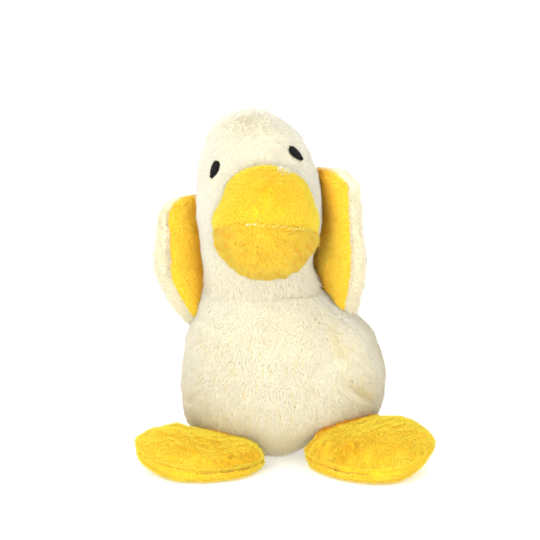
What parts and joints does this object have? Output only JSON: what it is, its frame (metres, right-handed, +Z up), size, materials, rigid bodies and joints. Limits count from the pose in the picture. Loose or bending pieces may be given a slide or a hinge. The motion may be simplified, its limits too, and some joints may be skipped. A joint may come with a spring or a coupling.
{
  "type": "plush duck",
  "caption": "Small seated plush duck in short pile, with a round bill, upright wings and splayed oval feet that bend at their seams.",
  "frame": {"origin": "middle of the flat seat, on the surface that the duck sits on", "axes": "+Z up, -Y the way the duck faces, +X towards its own left side"},
  "size_m": [0.1261, 0.1087, 0.1462],
  "materials": {
    "cream_pile": "short soft plush pile, matt with a faint sheen",
    "yellow_pile": "short soft plush pile, matt with a faint sheen",
    "eye_thread": "satin stitch in black thread",
    "stuffing": "loose white fibre",
    "pouch_cloth": "plain woven cotton",
    "pellets": "small round plastic beads"
  },
  "bodies": {
    "torso": {"belly_panel": "cream_pile", "left_back_panel": "cream_pile", "right_back_panel": "cream_pile", "seat_panel": "cream_pile", "body_stuffing": "stuffing", "pouch_base": "pouch_cloth", "pouch_top": "pouch_cloth", "pellets": "pellets"},
    "head": {"face_panel": "cream_pile", "left_head_panel": "cream_pile", "right_head_panel": "cream_pile", "head_stuffing": "stuffing", "upper_bill_panel": "yellow_pile", "lower_bill_panel": "yellow_pile", "bill_stuffing": "stuffing", "left_eye": "eye_thread", "right_eye": "eye_thread"},
    "left_wing": {"left_wing_cover": "cream_pile", "left_wing_lining": "yellow_pile", "left_wing_stuffing": "stuffing"},
    "right_wing": {"right_wing_cover": "cream_pile", "right_wing_lining": "yellow_pile", "right_wing_stuffing": "stuffing"},
    "left_foot": {"left_foot_top": "yellow_pile", "left_foot_sole": "yellow_pile", "left_foot_stuffing": "stuffing"},
    "right_foot": {"right_foot_top": "yellow_pile", "right_foot_sole": "yellow_pile", "right_foot_stuffing": "stuffing"}
  },
  "joints": [
    {"name": "neck_nod", "type": "hinge", "parent": "torso", "child": "head", "pos_m": [-0.0085, -0.005, 0.075], "axis": [0.9962, 0, 0.0872], "range_deg": [-10, 10], "stiffness_Nm_per_rad": 0.15},
    {"name": "left_wing_fold", "type": "hinge", "parent": "torso", "child": "left_wing", "pos_m": [0.03119, 0.00055, 0.06], "axis": [-0.4695, 0.8829, 0], "range_deg": [0, 110], "stiffness_Nm_per_rad": 0.02},
    {"name": "right_wing_fold", "type": "hinge", "parent": "torso", "child": "right_wing", "pos_m": [-0.03783, 0.00075, 0.058], "axis": [-0.5878, -0.809, 0], "range_deg": [0, 110], "stiffness_Nm_per_rad": 0.02},
    {"name": "left_foot_lift", "type": "hinge", "parent": "torso", "child": "left_foot", "pos_m": [0.02904, -0.03078, 0.017], "axis": [-0.7071, -0.7071, 0], "range_deg": [-22, 22], "stiffness_Nm_per_rad": 0.03},
    {"name": "right_foot_lift", "type": "hinge", "parent": "torso", "child": "right_foot", "pos_m": [-0.02748, -0.0321, 0.017], "axis": [-0.7431, 0.6691, 0], "range_deg": [-22, 22], "stiffness_Nm_per_rad": 0.03}
  ]
}
